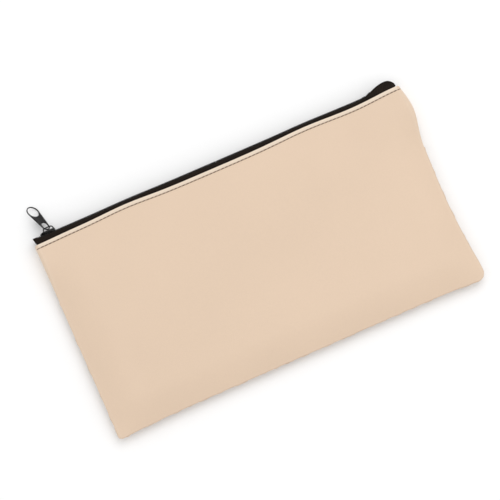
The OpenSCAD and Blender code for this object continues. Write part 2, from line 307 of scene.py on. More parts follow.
class Paint:
    """Builds one node material around a Principled shader."""

    def __init__(self, name):
        self.material = bpy.data.materials.new(name)
        self.material.use_nodes = True
        self.tree = self.material.node_tree
        self.shader = self.tree.nodes["Principled BSDF"]
        self.place = self.node("ShaderNodeTexCoord").outputs["Object"]

    def node(self, kind, **settings):
        made = self.tree.nodes.new(kind)
        for key, value in settings.items():
            if key in made.inputs:
                made.inputs[key].default_value = value
            else:
                setattr(made, key, value)
        return made

    def link(self, source, target):
        self.tree.links.new(source, target)

    def stretched(self, scale, turn=(0, 0, 0)):
        mapping = self.node("ShaderNodeMapping")
        mapping.inputs["Scale"].default_value = scale
        mapping.inputs["Rotation"].default_value = turn
        self.link(self.place, mapping.inputs["Vector"])
        return mapping.outputs["Vector"]

    def noise(self, scale, detail=3.0, roughness=0.5, place=None):
        made = self.node("ShaderNodeTexNoise", Scale=scale, Detail=detail, Roughness=roughness)
        self.link(place or self.place, made.inputs["Vector"])
        return made.outputs["Fac"]

    def cells(self, scale):
        made = self.node("ShaderNodeTexVoronoi", feature="DISTANCE_TO_EDGE", Scale=scale)
        self.link(self.place, made.inputs["Vector"])
        return made.outputs["Distance"]

    def wave(self, scale, distortion, place):
        made = self.node("ShaderNodeTexWave", wave_type="BANDS", bands_direction="X",
                         wave_profile="SIN", Scale=scale, Distortion=distortion)
        self.link(place, made.inputs["Vector"])
        return made.outputs["Fac"]

    def ramp(self, factor, stops):
        made = self.node("ShaderNodeValToRGB")
        self.link(factor, made.inputs["Fac"])
        elements = made.color_ramp.elements
        while len(elements) < len(stops):
            elements.new(0.5)
        for element, (position, colour) in zip(elements, stops):
            element.position = position
            grey = (colour, colour, colour)
            element.color = (*(colour if hasattr(colour, "__len__") else grey), 1)
        return made.outputs["Color"]

    def mix(self, factor, one, two):
        made = self.node("ShaderNodeMix", data_type="RGBA", blend_type="MIX")
        for source, socket in ((factor, "Factor"), (one, "A"), (two, "B")):
            self.feed(source, made.inputs[socket])
        return made.outputs["Result"]

    def math(self, operation, one, two):
        made = self.node("ShaderNodeMath", operation=operation)
        self.feed(one, made.inputs[0])
        self.feed(two, made.inputs[1])
        return made.outputs[0]

    def feed(self, source, socket):
        if isinstance(source, bpy.types.NodeSocket):
            self.link(source, socket)
        else:
            socket.default_value = source

    def attribute(self, name):
        return self.node("ShaderNodeAttribute", attribute_name=name).outputs["Fac"]

    def relief(self, height, strength, distance, below=None):
        made = self.node("ShaderNodeBump", Strength=strength, Distance=distance)
        self.link(height, made.inputs["Height"])
        if below is not None:
            self.link(below, made.inputs["Normal"])
        return made.outputs["Normal"]

    def finish(self, colour, roughness, normal, **settings):
        self.feed(colour, self.shader.inputs["Base Color"])
        self.feed(roughness, self.shader.inputs["Roughness"])
        self.link(normal, self.shader.inputs["Normal"])
        for key, value in settings.items():
            self.shader.inputs[key.replace("_", " ")].default_value = value
        return self.material


def tinted(colour, factor):
    """The same colour, darker or lighter."""
    return tuple(c * factor for c in colour)


def leatherette():
    """Beige coated fabric: a fine pebbled grain, faint cloudy tone, paler folds that are partly wear and
    partly a painted highlight, and painted shade along the stitch groove and under the turned edges.
    """
    paint = Paint("leatherette_beige")
    beige = (0.726, 0.557, 0.416)
    # Paler colour for worn folds, also used as a painted highlight on the hem's margin and fold crest
    pale_wear_and_highlight = (0.810, 0.700, 0.575, 1)
    # Darker colour for painted shade in the stitch groove and under the turned edges
    dark = (0.56, 0.41, 0.30, 1)
    cloudy = paint.ramp(paint.noise(14, 2.0), [(0.3, tinted(beige, 0.975)), (0.7, tinted(beige, 1.02))])
    mottled = paint.ramp(paint.noise(900, 4.0), [(0.35, tinted(beige, 0.965)), (0.65, tinted(beige, 1.02))])
    colour = paint.mix(0.35, cloudy, mottled)
    # Paler where worn, and a painted highlight where the hem's margin and fold catch the light
    colour = paint.mix(paint.math("MULTIPLY", paint.attribute("wear_and_highlight"), 0.75), colour, pale_wear_and_highlight)
    # Painted shade: darker along the stitch groove and where the turned edges face down
    colour = paint.mix(paint.math("MULTIPLY", paint.attribute("painted_shade"), 0.5), colour, dark)
    pebbles = paint.ramp(paint.cells(1500), [(0.0, 0.0), (0.22, 1.0)])
    pores = paint.noise(4200, 2.0)
    grain = paint.math("ADD", paint.math("MULTIPLY", pebbles, 0.8), paint.math("MULTIPLY", pores, 0.5))
    rough = paint.ramp(paint.noise(60, 3.0), [(0.3, 0.47), (0.7, 0.56)])
    handled = paint.relief(paint.noise(120, 3.0), 0.05, 0.002)
    normal = paint.relief(grain, 0.75, 0.00007, handled)
    return paint.finish(colour, rough, normal, Specular_IOR_Level=0.4,
                        Sheen_Weight=0.06, Sheen_Roughness=0.5)


def woven_tape():
    """Black-brown polyester tape: a fine diagonal weave."""
    paint = Paint("tape_black_weave")
    lengthwise = paint.wave(330, 0.3, paint.stretched((1, 1, 1), (0, 0, math.radians(38))))
    crosswise = paint.wave(330, 0.3, paint.stretched((1, 1, 1), (0, math.radians(52), 0)))
    weave = paint.math("MULTIPLY", lengthwise, crosswise)
    colour = paint.ramp(weave, [(0.0, (0.006, 0.004, 0.003)), (0.8, (0.022, 0.014, 0.009))])
    cloudy = paint.ramp(paint.noise(90, 3.0), [(0.3, (0.007, 0.005, 0.004)), (0.7, (0.019, 0.012, 0.008))])
    colour = paint.mix(0.4, colour, cloudy)
    rough = paint.ramp(paint.noise(700, 2.0), [(0.3, 0.74), (0.7, 0.9)])
    return paint.finish(colour, rough, paint.relief(weave, 0.5, 0.00012), Specular_IOR_Level=0.12,
                        Sheen_Weight=0.02, Sheen_Roughness=0.4)


def nylon():
    """Black nylon monofilament: smooth, with a slight drawn texture."""
    paint = Paint("coil_black_nylon")
    streaks = paint.noise(1600, 2.0, place=paint.stretched((1, 1, 0.25)))
    colour = paint.ramp(streaks, [(0.3, (0.007, 0.005, 0.004)), (0.7, (0.018, 0.013, 0.010))])
    rough = paint.ramp(paint.noise(500, 2.0), [(0.3, 0.34), (0.7, 0.48)])
    return paint.finish(colour, rough, paint.relief(streaks, 0.15, 0.00004), Specular_IOR_Level=0.25)


def painted_metal():
    """Dark painted zinc: fine orange peel, paler where the paint has rubbed thin."""
    paint = Paint("metal_dark_paint")
    full_paint = (0.014, 0.013, 0.013, 1)
    thin_paint = (0.060, 0.055, 0.054, 1)
    rubbed = paint.ramp(paint.noise(420, 5.0, 0.65), [(0.56, 0.0), (0.74, 1.0)])
    colour = paint.mix(paint.math("MULTIPLY", rubbed, 0.5), full_paint, thin_paint)
    rough = paint.ramp(paint.noise(800, 4.0), [(0.3, 0.30), (0.7, 0.46)])
    normal = paint.relief(paint.noise(1500, 3.0), 0.12, 0.00008)
    return paint.finish(colour, rough, normal, Metallic=0.35, Specular_IOR_Level=0.3)


def thread(name, dark, light):
    """Twisted sewing thread: strands that cross it at a slant."""
    paint = Paint(name)
    twist = paint.wave(900, 0.6, paint.stretched((1, 1, 1), (0, 0, math.radians(32))))
    colour = paint.ramp(twist, [(0.1, dark), (0.9, light)])
    rough = paint.ramp(paint.noise(2000, 2.0), [(0.3, 0.62), (0.7, 0.8)])
    return paint.finish(colour, rough, paint.relief(twist, 0.6, 0.00008), Sheen_Weight=0.1)


# ---- Panels ----

def grid_lines():
    """Distances from an edge where the grid's lines are close together."""
    return np.array([0, 0.5, 1.1, 1.8, 2.6, 3.6, 4.8, 6.2, 7.8, 9.8, 12.2, 15, 18, 21, 24]) * MM


def panel_columns():
    near = grid_lines() / HALF_W
    middle = np.linspace(-1 + near[-1], 1 - near[-1], 79)
    return np.concatenate([near[:-1] - 1, middle, (1 - near[:-1])[::-1]])


def panel_rows():
    """Shares of the depth, close together at the bottom seam and around the topstitch."""
    depth = HEM_Y - BOTTOM_Y
    near = grid_lines() / depth
    stitch = (STITCH_Y - BOTTOM_Y) / depth
    top = stitch + np.array([-14, -11.5, -9, -7, -5.2, -3.8, -2.8, -2.0, -1.4, -0.9, -0.5, -0.2,
                             0.1, 0.4, 0.8, 1.2, 1.6]) * MM / depth
    middle = np.linspace(near[-1], top[0], 36)
    return np.concatenate([near[:-1], middle, top[1:], [1.0]])


def soft_noise(x, y, seed, size):
    values = [noise.noise(Vector((a / size, b / size, seed))) for a, b in zip(x.ravel(), y.ravel())]
    return np.array(values).reshape(x.shape)


def round_corner(side_gap, bottom_gap, radius):
    """Moves the points of a square corner into a round one."""
    inside = (side_gap < radius) & (bottom_gap < radius)
    p = np.clip(1 - side_gap / radius, 0, 1)
    q = np.clip(1 - bottom_gap / radius, 0, 1)
    return (np.where(inside, radius * (1 - p * np.sqrt(1 - q * q / 2)), side_gap),
            np.where(inside, radius * (1 - q * np.sqrt(1 - p * p / 2)), bottom_gap))


def panel_plan(a, b):
    """Where the face's grid lies within the outline, and each point's distance from its edges."""
    x = a * HALF_W
    bottom = bottom_edge(x) + FOLD_R
    top = hem_line(x) - FOLD_R
    y = bottom + b * (top - bottom)
    radius = FOLD_R + LIP_R * lip(y)
    left = left_edge(y) + radius
    right = right_edge(y) - radius
    x = (left + right) / 2 + a * (right - left) / 2
    left_gap, right_gap, bottom_gap = x - left, right - x, y - bottom
    new_left, below_left = round_corner(left_gap, bottom_gap, LEFT_CORNER_R)
    new_right, below_right = round_corner(right_gap, bottom_gap, RIGHT_CORNER_R)
    x = np.where(a < 0, left + new_left, right - new_right)
    y = bottom + np.where(a < 0, below_left, below_right)
    return x, y, np.minimum(left_gap, right_gap), bottom_gap


def panel_field(crown, seed, sag):
    """The open face: x, y, height above the parting plane, a mask for wear and painted highlight, and a
    mask for painted shade.
    """
    x, y, side_gap, bottom_gap = panel_plan(*np.meshgrid(panel_columns(), panel_rows()))
    pillow = swell(side_gap / SIDE_ROUND) * swell(bottom_gap / BOTTOM_ROUND)
    rise = lip(y)
    full = crown + (HEM_H - crown) * smooth((y - HEM_Y + 18 * MM) / (7 * MM))
    height = RIM_H + (full - RIM_H) * (pillow + (1 - pillow) * rise)
    inner = pillow * (1 - smooth((y - HEM_Y + 30 * MM) / (18 * MM)))
    wander = 0.5 * soft_noise(x, y, seed, 0.055) + 0.18 * soft_noise(x, y, seed + 3, 0.022)
    sunk = sag * bump(x / SAG_HALF_X) * bump((y + 2 * MM) / SAG_HALF_Y)
    height -= inner * (sunk + WANDER * np.abs(wander))
    height -= dimples(x, y, inner)
    height += edge_puckers(x, y, side_gap, bottom_gap, rise, seed)
    to_fold = hem_line(x) - y
    height -= 0.26 * MM * bump((to_fold - MARGIN) / (0.75 * MM))
    height += 0.10 * MM * bump((to_fold - 0.45 * MARGIN) / (0.8 * MM))
    # Pale between the stitch line and the hem fold: a painted highlight where the margin catches light; a
    # little pale along the side edges: wear
    wear_and_highlight = 0.9 * smooth(1 - (to_fold - MARGIN + 0.7 * MM) / (0.6 * MM))
    wear_and_highlight = wear_and_highlight + 0.2 * (1 - swell(side_gap / (2.5 * MM)))
    # Painted shade along the stitch line, where the sheet sinks into a groove
    painted_shade = 0.9 * bump((to_fold - MARGIN) / (0.5 * MM))
    return x, y, height, np.clip(wear_and_highlight, 0, 1), painted_shade


def dimples(x, y, inner):
    """A few shallow marks left by what the bag has carried: place, size and depth in mm."""
    marks = [(-94, -3, 1.3, 0.22), (-72, 6, 0.9, 0.16), (58, 18, 3.0, 0.12), (92, 28, 2.4, 0.14)]
    total = sum(depth * MM * bump(np.hypot(x - across * MM, y - up * MM) / (size * MM))
                for across, up, size, depth in marks)
    return total * inner


def edge_puckers(x, y, side_gap, bottom_gap, rise, seed):
    """Small gathers beside the seams, where the stitching draws the sheet in."""
    side = np.sin(y / (3.1 * MM) + 1.7 * np.sin(y / (21 * MM) + seed))
    below = np.sin(x / (3.4 * MM) + 1.9 * np.sin(x / (27 * MM) + seed))
    side = side * bump((side_gap - 4 * MM) / (3 * MM))
    below = below * bump((bottom_gap - 4 * MM) / (3 * MM))
    return 0.03 * MM * (side * (1 - rise) + below)


def edge_rings(height, radius):
    """Down a turned edge: distance out, height, and how much the surface faces out and up."""
    rings = []
    for degrees in (72, 54, 36, 18, 0):
        a = math.radians(degrees)
        rings.append((radius * math.cos(a), height - radius + radius * math.sin(a),
                      math.cos(a), math.sin(a)))
    for share in (0.33, 0.67):
        rings.append((radius, (height - radius) * (1 - share) + FOLD_R * share, 1.0, 0.0))
    for degrees in (0, -30, -60, -90):
        a = math.radians(degrees)
        rings.append((radius - FOLD_R + FOLD_R * math.cos(a), FOLD_R + FOLD_R * math.sin(a) + RIM_GAP,
                      math.cos(a), math.sin(a)))
    return rings


class Sheet:
    """The points, marks and faces of one sheet while it is built up."""

    def __init__(self, crown, seed, sag):
        x, y, height, wear_and_highlight, painted_shade = panel_field(crown, seed, sag)
        self.rows, self.cols = x.shape
        places = [(j, i) for j in range(self.rows) for i in range(self.cols)]
        self.verts = [(x[p], y[p], height[p]) for p in places]
        self.marks = [(wear_and_highlight[p], painted_shade[p]) for p in places]
        corners = [j * self.cols + i for j, i in places if j < self.rows - 1 and i < self.cols - 1]
        self.faces = [(k, k + 1, k + self.cols + 1, k + self.cols) for k in corners]

    def add(self, point, wear_and_highlight, painted_shade):
        self.verts.append(point)
        self.marks.append((wear_and_highlight, painted_shade))
        return len(self.verts) - 1

    def flat(self, index):
        return Vector(self.verts[index][:2])

    def turned_edge(self):
        """Adds the turned edges with their allowance, and returns their lines of points."""
        last_row = self.rows - 1
        left_side = [j * self.cols for j in range(last_row, 0, -1)]
        right_side = [j * self.cols + self.cols - 1 for j in range(1, self.rows)]
        around = left_side + list(range(self.cols)) + right_side
        corners = [self.flat(0), self.flat(self.cols - 1)]
        strip = []
        for k, index in enumerate(around):
            here = self.flat(index)
            along = self.flat(around[min(k + 1, len(around) - 1)]) - self.flat(around[max(k - 1, 0)])
            if k in (0, len(around) - 1):
                along = Vector((0, -1 if k == 0 else 1))
            out = Vector((along.y, -along.x)).normalized()
            radius = FOLD_R + LIP_R * float(lip(here.y)) * smooth((here.y - LIP_START) / (4 * MM))
            line = [index]
            for distance, z, facing_out, facing_up in edge_rings(self.verts[index][2], radius):
                place = here + out * distance
                # Paler where the turned edge faces out (wear); painted shade where it faces down
                wear_and_highlight, painted_shade = 0.3 * max(facing_out, 0), 0.6 * max(-facing_up, 0)
                line.append(self.add((place.x, place.y, z), wear_and_highlight, painted_shade))
            near_corner = min((here - corner).length for corner in corners)
            reach = ALLOWANCE * float(smooth(near_corner / (14 * MM))) + 1.2 * MM
            for share in (0.2, 0.45, 0.7, 0.95):
                place = here + out * (radius - FOLD_R - reach * share)
                line.append(self.add((place.x, place.y, RIM_GAP), 0, 0))
            strip.append(line)
        self.faces += between(strip)
        return strip

    def folded_hem(self, strip):
        """Adds the hem: the sheet turns over its top edge and lies flat inside."""
        top_row = [(self.rows - 1) * self.cols + i for i in range(self.cols)]
        top_path = strip[0][:0:-1] + top_row + strip[-1][1:]
        edge_points = len(strip[0]) - 1
        turns = [math.radians(degrees) for degrees in (30, 60, 90, 120, 150, 180)]
        steps = [(FOLD_R * math.sin(a), FOLD_R * (1 - math.cos(a))) for a in turns]
        steps += [(-share * HEM_W, 2 * FOLD_R) for share in (0.1, 0.35, 0.65, 1.0)]
        normals = top_normals(self.verts, top_path)
        fold = [top_path]
        for forward, inward in steps:
            line = []
            for k, index in enumerate(top_path):
                from_end = min(k, len(top_path) - 1 - k)
                soft = 0.08 + 0.92 * float(smooth((from_end - 5) / (edge_points - 8)))
                px, py, pz = self.verts[index]
                nx, nz = normals[k]
                point = (px - nx * inward * soft, py + forward * (1 if forward > 0 else soft),
                         pz - nz * inward * soft)
                # The fold's crest is paler: wear, and a painted highlight where the fold catches light; the
                # hem's inner layer a little paler: wear
                line.append(self.add(point, 0.9 if forward > 0 else 0.3, 0))
            fold.append(line)
        self.faces += between(fold)

    def finish(self, name, side, material):
        """The sheet as an object above (side 1) or below (side -1) the parting plane."""
        bm = bmesh.new()
        wear_and_highlight_layer = bm.verts.layers.float.new("wear_and_highlight")
        painted_shade_layer = bm.verts.layers.float.new("painted_shade")
        made = []
        for (x, y, z), (wear_and_highlight, painted_shade) in zip(self.verts, self.marks):
            vert = bm.verts.new((x, y, PART_Z + side * z))
            vert[wear_and_highlight_layer] = wear_and_highlight
            vert[painted_shade_layer] = painted_shade
            made.append(vert)
        for face in self.faces:
            corners = [made[k] for k in face]
            bm.faces.new(corners if side > 0 else corners[::-1])
        bmesh.ops.remove_doubles(bm, verts=bm.verts, dist=2 * WELD)
        return new_object(name, as_mesh(name, bm), material)


def panel(name, side, crown, seed, sag, material):
    """One leatherette sheet: its face, its turned edges with their allowance, and its folded hem."""
    sheet = Sheet(crown, seed, sag)
    sheet.folded_hem(sheet.turned_edge())
    return sheet.finish(name, side, material)


def top_normals(verts, path):
    """The sheet's outward direction in the X-Z plane at each point of its top edge."""
    found = []
    for k in range(len(path)):
        before = verts[path[max(k - 1, 0)]]
        after = verts[path[min(k + 1, len(path) - 1)]]
        run = Vector((after[0] - before[0], after[2] - before[2]))
        if run.length < 1e-9:
            run = Vector((1, 0))
        run.normalize()
        found.append((-run.y, run.x))
    return found


# ---- Zipper ----

TAPE_T = 0.5 * MM
TAPE_BEND = 0.75 * MM
TAPE_LEG_Z = tape_high.z - PART_Z - TAPE_T / 2
TAPE_HIDDEN = 9 * MM
TAPE_LEG_END = HALF_W - 2.4 * MM   # the leg under the hem ends about here, inside the side seam
TAPE_LEG_SPARE = 0.07
TAPE_SETBACK = 0.3 * MM
TAPE_RIPPLE = 0.05 * MM
TAPE_EDGE_Z = 0.55 * MM
TURNED_START = 112 * MM
TURNED_FULL = 133 * MM
TURNED_OUT = 6.35 * MM
TURNED_END = HALF_W - 0.4 * MM
PINCH = 0.78                       # share of their distance that the turned ends lose
LEFT_OUT = 1.2 * MM
LEFT_OUT_START = -135.2 * MM
ZIPPER_BOW = 0.42 * MM             # the slider's channel leaves the teeth 0.5 mm
TEETH_LIFT = 0.45 * MM


def turned_out(x):
    """How far the tape stands out past both ends of the zipper, most at its folded open end."""
    rise = TURNED_OUT * smooth((x - TURNED_START) / (TURNED_FULL - TURNED_START)) ** 0.8
    past = np.clip((x - TURNED_FULL) / (TURNED_END - TURNED_FULL), 0, 1)
    left = LEFT_OUT * smooth((LEFT_OUT_START - x) / (3.2 * MM))
    return rise * np.sqrt(1 - 0.96 * past ** 2) + left


def pinched(x):
    """How far the two tapes are pressed together at their folded end."""
    return PINCH * smooth((x - stop_high.x) / (TURNED_FULL - stop_high.x))


def tape_columns():
    """Places along the tape, close together at its ends."""
    left = np.array([-140.7, -140.5, -140, -139.3, -138.6, -137.8, -137, -136, -134, -130]) * MM
    middle = np.linspace(-126, 114, 61) * MM
    turned = np.linspace(116, 136, 21) * MM
    right = np.array([136.8, 137.5, 138.1, 138.6, 139.0, 139.2]) * MM
    return np.concatenate([left, middle, turned, right])


def tape_profile():
    """Across the tape: Y, Z above the parting plane, and the share that follows the turned end."""
    standing_y = TAPE_Y - TAPE_T / 2
    points = [(HEM_Y - TAPE_HIDDEN + TAPE_HIDDEN * k / 4, TAPE_LEG_Z, 0.0) for k in range(5)]
    points.append((HEM_Y + 0.8 * MM, TAPE_LEG_Z, 0.35))
    for degrees in (90, 67, 45, 22, 0):
        a = math.radians(degrees)
        points.append((standing_y - TAPE_BEND + TAPE_BEND * math.cos(a),
                       TAPE_LEG_Z - TAPE_BEND + TAPE_BEND * math.sin(a), 1.0))
    points += [(standing_y, (TAPE_LEG_Z - TAPE_BEND) * (1 - share) + TAPE_EDGE_Z * share, 1.0)
               for share in (0.3, 0.65, 1.0)]
    return points


def zip_tape(name, side, material):
    """One tape's middle surface: it lies under the hem and stands across the mouth."""
    profile = tape_profile()
    bm = bmesh.new()
    lines = []
    for x in tape_columns():
        press = float(pinched(x))
        with_hem = float(hem_line(x)) - HEM_Y
        ripple = TAPE_RIPPLE * math.sin(x / (2.9 * MM))
        standing = float(turned_out(x)) + float(zipper_bow(x)) - TAPE_SETBACK + ripple
        leg_x = min(abs(x), (1 - TAPE_LEG_SPARE) * TAPE_LEG_END + TAPE_LEG_SPARE * abs(x))
        leg_x = math.copysign(leg_x, x)
        line = []
        for y, z, follow in profile:
            line.append(bm.verts.new((leg_x + (x - leg_x) * min(1, follow * 2),
                                      y + with_hem * (1 - follow) + standing * follow,
                                      PART_Z + side * z * (1 - press * follow))))
        lines.append(line)
    for face in between(lines):
        bm.faces.new(face if side < 0 else face[::-1])
    bmesh.ops.remove_doubles(bm, verts=bm.verts, dist=WELD)
    return new_object(name, as_mesh(name, bm), material)


TOOTH_PITCH = 1.3 * MM
WIRE_R = 0.26 * MM
COIL_HEAD = -0.12 * MM             # how far the round heads reach past the middle of the chain
COIL_SPINE = coil_high.z - PART_Z
COIL_START = coil_low.x
COIL_END = coil_high.x
COIL_BASE = coil_low.y
COIL_MIDDLE = (CREST_Y + COIL_BASE) / 2
COIL_TURN_STEPS = 14


def lifted(x):
    """How far the teeth stand out: with the zipper's bow, and before the turned end covers them."""
    return min(float(turned_out(max(x, 0))), TEETH_LIFT) + float(zipper_bow(x))


def signed_power(value, power):
    return math.copysign(abs(value) ** power, value)


def coil(name, side, start, end, material):
    """One row of teeth: a nylon strand wound into flattened loops, whose heads meet the other row's."""
    half_y = (CREST_Y - COIL_BASE) / 2 - WIRE_R
    near, far = COIL_HEAD + WIRE_R, COIL_SPINE - WIRE_R
    phase = 0.5 if side < 0 else 0.0
    first = math.ceil((start - COIL_START) / TOOTH_PITCH - phase)
    last = math.floor((end - COIL_START) / TOOTH_PITCH - phase)
    points, radii = [], []
    for k in range((last - first) * COIL_TURN_STEPS + 1):
        turn = k / COIL_TURN_STEPS
        across = signed_power(math.cos(math.tau * turn), 0.75)
        upright = signed_power(math.sin(math.tau * turn), 0.6)
        x = COIL_START + (first + phase + turn) * TOOTH_PITCH
        z = (near + far) / 2 - across * (far - near) / 2
        points.append((x, COIL_MIDDLE + upright * half_y + lifted(x), PART_Z + side * z))
        radii.append(WIRE_R * (1 + 0.18 * max(across, 0) ** 4))
    bm = bmesh.new()
    tube(bm, points, radii, sides=6)
    return closed_object(name, bm, material)


def zip_threads(name, side, start, end, material):
    """The cord inside the coil, and the sewing line that holds the coil to its tape."""
    bm = bmesh.new()
    cord_r = 0.24 * MM
    cord_z = PART_Z + side * (COIL_SPINE - 0.5 * MM)
    steps = max(2, int((end - start) / (4 * MM)))
    xs = np.linspace(start, end, steps + 1)
    tube(bm, [(x, COIL_MIDDLE + lifted(x), cord_z) for x in xs], [cord_r] * len(xs))
    thread_z = PART_Z + side * (COIL_SPINE + 0.16 * MM)
    radii = [r * MM for r in (0.07, 0.12, 0.13, 0.12, 0.07)]
    pitch = 2 * TOOTH_PITCH
    for k in range(int((end - start) / pitch)):
        points = []
        for share in (0.04, 0.2, 0.5, 0.8, 0.96):
            x = start + k * pitch + pitch * share
            points.append((x, COIL_BASE + 0.13 * MM * math.sin(math.pi * share) + lifted(x), thread_z))
        tube(bm, points, radii, 6)
    return closed_object(name, bm, material)


def along_x(x):
    """Places a plate whose outline is given in Y and Z, with its thickness along X."""
    return Matrix(((0, 0, 1, x), (1, 0, 0, 0), (0, 1, 0, 0), (0, 0, 0, 1)))


def along_y(y):
    """Places a plate whose outline is given in X and Z, with its thickness along Y."""
    return Matrix(((1, 0, 0, 0), (0, 0, 1, y), (0, 1, 0, 0), (0, 0, 0, 1)))


def top_stop(name, side, material):
    """A small clamp folded round the edge of one tape, past the closed slider's nose."""
    low, high = top_stop_low, top_stop_high
    z0, z1 = (z - PART_Z for z in (low.z, high.z))
    chamfer = 0.4 * MM
    slot_z = z0 + 0.35 * MM
    tape_inner = TAPE_Y - TAPE_T
    wall = [(low.y, z0), (high.y, z0), (high.y, z1 - chamfer), (high.y - chamfer, z1), (TAPE_Y, z1),
            (TAPE_Y, slot_z), (tape_inner, slot_z), (tape_inner, z1), (low.y, z1)]
    outline = [(y, PART_Z + side * z) for y, z in wall]
    place = along_x((low.x + high.x) / 2)
    return plate(name, outline, [], high.x - low.x, 0.12 * MM, place, material)


def bottom_stop(material):
    """The stop at the open end: a plate over both tapes, sunk in their turned end."""
    low, high = stop_low, stop_high
    half = high.z - PART_Z
    chamfer, slot_z, sunk = 0.45 * MM, 0.48 * MM, 0.95 * MM
    tape_inner = TAPE_Y - TAPE_T
    wall = [(TAPE_Y, half), (high.y - chamfer, half), (high.y, half - chamfer), (high.y, -half + chamfer),
            (high.y - chamfer, -half), (TAPE_Y, -half), (TAPE_Y, -slot_z), (tape_inner, -slot_z),
            (tape_inner, -half), (low.y, -half), (low.y, 0), (TAPE_Y + 0.05 * MM, 0)]
    middle = (low.x + high.x) / 2
    slope = math.atan2(float(turned_out(high.x) - turned_out(low.x)), high.x - low.x)
    up = float(turned_out(middle)) - sunk
    turn = Matrix.Translation((middle, TAPE_Y + up, 0)) @ Matrix.Rotation(slope, 4, "Z")
    outline = [(y - TAPE_Y, PART_Z + z) for y, z in wall]
    return plate("bottom_stop_clamp", outline, [], high.x - low.x, 0.14 * MM, turn @ along_x(0), material)


# ---- Slider, bridge and tab ----

def arc(cx, cy, radius, start, end, steps):
    """Points on a circle from one angle to another, in degrees."""
    angles = [math.radians(start + (end - start) * k / steps) for k in range(steps + 1)]
    return [(cx + radius * math.cos(a), cy + radius * math.sin(a)) for a in angles]


SLIDER_HALF_L = slider_high.x - SLIDER_X


def wing_outline():
    """A wing seen from outside: a broad rounded nose to the left, and a narrower tail."""
    nose_w, tail_w = slider_high.z - PART_Z, 3.9 * MM
    nose_l, tail_r = 3.4 * MM, 0.8 * MM
    nose = -SLIDER_HALF_L + nose_l
    upper = [(0.3 * MM, nose_w), (nose, nose_w)]
    upper += [(nose + nose_l * math.cos(math.radians(d)), nose_w * math.sin(math.radians(d)) ** 0.8)
              for d in (108, 124, 140, 155, 168, 176)]
    loop = arc(SLIDER_HALF_L - tail_r, tail_w - tail_r, tail_r, 0, 90, 4) + upper
    mirrored = [(u, -v) for u, v in loop[::-1]]
    return [(SLIDER_X + u, PART_Z + v) for u, v in loop + mirrored]


def flanges(material):
    """Four strips along the wings' edges, which hold the teeth in and leave a slot for each tape."""
    parts = []
    nose, tail = SLIDER_X - SLIDER_HALF_L, SLIDER_X + SLIDER_HALF_L
    slot_in, slot_out = TAPE_Y - TAPE_T - 0.35 * MM, CREST_Y + 0.15 * MM
    z0, z1 = 3.25 * MM, 3.85 * MM
    outline = [(nose + 2.2 * MM, z0 + 0.4 * MM), (nose + 3.2 * MM, z1 + 0.5 * MM),
               (SLIDER_X + 0.3 * MM, z1 + 0.5 * MM), (tail - 0.6 * MM, z1),
               (tail - 0.6 * MM, z0), (nose + 2.8 * MM, z0)]
    for side in (-1, 1):
        for low, high in ((slider_low.y + 0.5 * MM, slot_in), (slot_out, SLIDER_TOP - 0.5 * MM)):
            placed = [(u, PART_Z + side * v) for u, v in outline]
            middle = along_y((low + high) / 2)
            parts.append(plate("flange", placed, [], high - low, 0.1 * MM, middle, material))
    return parts


def slider(material):
    """The slider's body: two wings joined by a post at the nose, with flanges along their edges."""
    wing_t, ramp_drop, ramp_l = 0.9 * MM, 0.5 * MM, 4.4 * MM
    inner_y, outer_y = slider_low.y + wing_t / 2, SLIDER_TOP - wing_t / 2
    inner = plate("wing_inner", wing_outline(), [], wing_t, 0.22 * MM, along_y(inner_y), material)
    outer = plate("wing_outer", wing_outline(), [], wing_t, 0.26 * MM, along_y(outer_y), material)
    ramp_start = SLIDER_X - 1.6 * MM
    for vert in outer.data.vertices:
        if vert.co.y > outer_y:
            vert.co.y -= ramp_drop * float(smooth((ramp_start - vert.co.x) / ramp_l))
    nose = SLIDER_X - SLIDER_HALF_L
    post_z = 0.4 * MM
    outline = [(nose + 1.1 * MM, PART_Z), (nose + 1.9 * MM, PART_Z - post_z),
               (nose + 3.7 * MM, PART_Z - post_z), (nose + 3.7 * MM, PART_Z + post_z),
               (nose + 1.9 * MM, PART_Z + post_z)]
    middle = along_y((inner_y + outer_y) / 2)
    post = plate("post", outline, [], outer_y - inner_y, 0.05 * MM, middle, material)
    return joined("slider_shell", [inner, outer] + flanges(material) + [post])


def bridge(material):
    """The round wire arch that carries the tab, with a small pad at each foot."""
    wire_r = 0.45 * MM
    half_span = (bridge_high.x - bridge_low.x) / 2 - wire_r
    top = bridge_high.y - wire_r
    bend = 1.75 * MM
    left, right = BRIDGE_X - half_span, BRIDGE_X + half_span
    sunk_y, clear_y = SLIDER_TOP - 0.4 * MM, SLIDER_TOP + 0.3 * MM
    points = [(left, sunk_y), (left, clear_y)]
    points += arc(left + bend, top - bend, bend, 180, 90, 8)
    points += arc(right - bend, top - bend, bend, 90, 0, 8)
    points += [(right, clear_y), (right, sunk_y)]
    bm = bmesh.new()
    tube(bm, [(x, y, PART_Z) for x, y in points], [wire_r] * len(points), 14)
    for foot in (left, right):
        tube(bm, [(foot, SLIDER_TOP + y * MM, PART_Z) for y in (-0.2, 0.0, 0.2, 0.36)],
             [r * MM for r in (0.72, 0.72, 0.64, 0.46)], 16)
    obj = closed_object("bridge_arch", bm, material)
    sharpen(obj.data, SHARP_DEGREES)
    return obj


